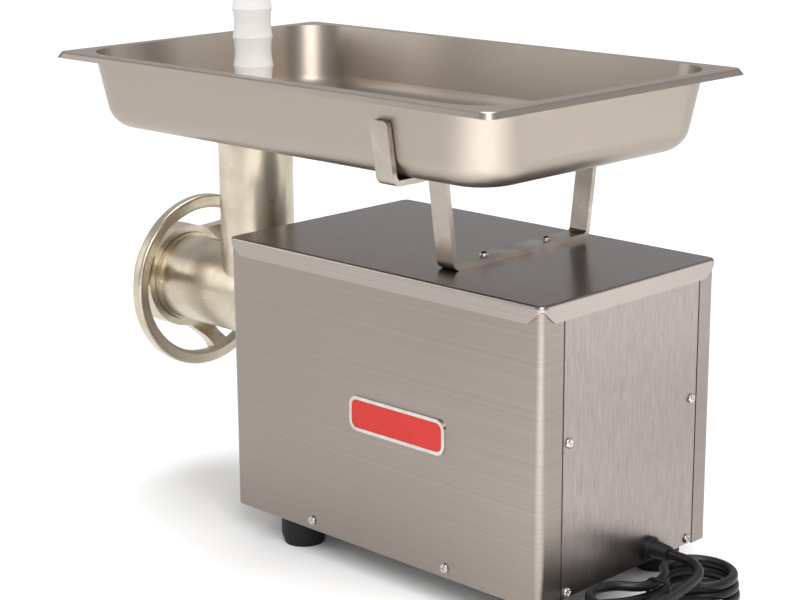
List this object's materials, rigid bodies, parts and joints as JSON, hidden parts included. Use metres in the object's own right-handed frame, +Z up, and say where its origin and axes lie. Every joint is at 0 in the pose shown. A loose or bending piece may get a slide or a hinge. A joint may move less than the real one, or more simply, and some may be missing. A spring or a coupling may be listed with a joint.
{
  "type": "electric meat grinder",
  "caption": "Countertop electric meat grinder: stainless housing, cast grinding head with a handwheel ring nut, feed tray on a bent-bar bracket, and a stomper.",
  "frame": {"origin": "on the standing surface, in the middle of the object's length and width without its mains lead", "axes": "the grinding head points to -Y, the lead leaves the rear panel towards +Y, the nameplate's side is +X, +Z is up"},
  "size_m": [0.328, 0.6848, 0.536],
  "materials": {
    "stainless_body": "horizontally brushed stainless sheet",
    "stainless_panel": "vertically brushed stainless sheet",
    "stainless_tray": "satin stainless",
    "plain_steel": "plain machined or rolled steel",
    "tinned_casting": "hot tinned casting, satin",
    "bright_screws": "bright plated",
    "black_rubber": "matt black rubber",
    "black_plastic": "black moulded plastic",
    "red_field": "plain red enamel",
    "white_nylon": "white food-grade plastic",
    "cast_aluminium": "as cast",
    "motor_paint": "dark enamel",
    "copper_wire": "varnished copper windings",
    "brass_blades": "plain brass"
  },
  "bodies": {
    "housing": {"housing_wrap": "stainless_body", "lid": "stainless_body", "rear_panel": "stainless_panel", "rear_rails": "plain_steel", "rear_panel_screws": "bright_screws", "base_plate": "plain_steel", "rubber_feet": "black_rubber", "foot_screws": "bright_screws", "side_screws": "bright_screws", "tray_bracket": "plain_steel", "bracket_screws": "bright_screws", "badge_frame": "bright_screws", "badge_inlay": "red_field", "gearbox_case": "cast_aluminium", "gearbox_cover": "cast_aluminium", "gearbox_screws": "bright_screws", "hub_screws": "bright_screws", "shaft_seal": "black_rubber", "output_bearings": "plain_steel", "intermediate_bearings": "plain_steel", "motor_front_bell": "cast_aluminium", "motor_screws": "bright_screws", "motor_rear_bell": "cast_aluminium", "motor_frame": "motor_paint", "stator_core": "plain_steel", "stator_windings": "copper_wire", "motor_bearings": "plain_steel", "motor_cradle": "cast_aluminium", "run_capacitor": "cast_aluminium", "capacitor_clip": "plain_steel", "terminal_block": "black_plastic", "switch_body": "black_plastic", "cord_gland": "black_plastic", "cord_hank": "black_plastic", "cord_tie": "black_plastic", "plug_body": "black_plastic", "plug_pins": "brass_blades"},
    "output": {"output_shaft": "plain_steel", "output_gear": "plain_steel"},
    "intermediate": {"intermediate_shaft": "plain_steel", "intermediate_pinion": "plain_steel", "intermediate_gear": "plain_steel"},
    "rotor": {"rotor_shaft": "plain_steel", "rotor_core": "plain_steel", "motor_pinion": "plain_steel", "cooling_fan": "black_plastic"},
    "head": {"head_casting": "tinned_casting", "plate_key_pin": "plain_steel", "thrust_washer": "brass_blades"},
    "screw": {"auger": "tinned_casting", "knife": "plain_steel"},
    "plate": {"cutting_plate": "plain_steel"},
    "ring_nut": {"ring_nut_handwheel": "tinned_casting"},
    "tray": {"feed_tray": "stainless_tray"},
    "stomper": {"stomper": "white_nylon"},
    "rocker": {"switch_rocker": "black_plastic"},
    "knob": {"lock_knob": "black_plastic"}
  },
  "joints": [
    {"name": "output_spin", "type": "hinge", "parent": "housing", "child": "output", "pos_m": [0, -0.07155, 0.19], "axis": [0, 1, 0], "continuous": true},
    {"name": "intermediate_spin", "type": "hinge", "parent": "housing", "child": "intermediate", "pos_m": [0.03979, -0.07155, 0.14116], "axis": [0, 1, 0], "continuous": true},
    {"name": "rotor_spin", "type": "hinge", "parent": "housing", "child": "rotor", "pos_m": [0, -0.07155, 0.113], "axis": [0, 1, 0], "continuous": true},
    {"name": "head_withdraw", "type": "slide", "parent": "housing", "child": "head", "axis": [0, -1, 0], "range_m": [0, 0.08]},
    {"name": "screw_spin", "type": "hinge", "parent": "head", "child": "screw", "pos_m": [0, -0.07155, 0.19], "axis": [0, 1, 0], "continuous": true},
    {"name": "plate_withdraw", "type": "slide", "parent": "head", "child": "plate", "axis": [0, -1, 0], "range_m": [0, 0.024]},
    {"name": "ring_nut_turn", "type": "hinge", "parent": "plate", "child": "ring_nut", "pos_m": [0, -0.2458, 0.19], "axis": [0, -1, 0], "range_deg": [0, 2160]},
    {"name": "tray_lift", "type": "slide", "parent": "head", "child": "tray", "axis": [0, 0, 1], "range_m": [0, 0.09]},
    {"name": "stomper_lift", "type": "slide", "parent": "tray", "child": "stomper", "axis": [0, 0, 1], "range_m": [0, 0.15]},
    {"name": "switch_rock", "type": "hinge", "parent": "housing", "child": "rocker", "pos_m": [-0.1065, -0.00155, 0.178], "axis": [0, -1, 0], "range_deg": [0, 18]},
    {"name": "lock_knob_turn", "type": "hinge", "parent": "housing", "child": "knob", "pos_m": [-0.06, -0.08955, 0.19], "axis": [-1, 0, 0], "range_deg": [0, 720]}
  ],
  "couplings": [
    {"joint": "intermediate_spin", "follows": "output_spin", "ratio": -2.5},
    {"joint": "rotor_spin", "follows": "output_spin", "ratio": 8.3333},
    {"joint": "screw_spin", "follows": "output_spin", "ratio": 1},
    {"joint": "ring_nut_turn", "follows": "plate_withdraw", "rad_per_m": 1570.8}
  ]
}
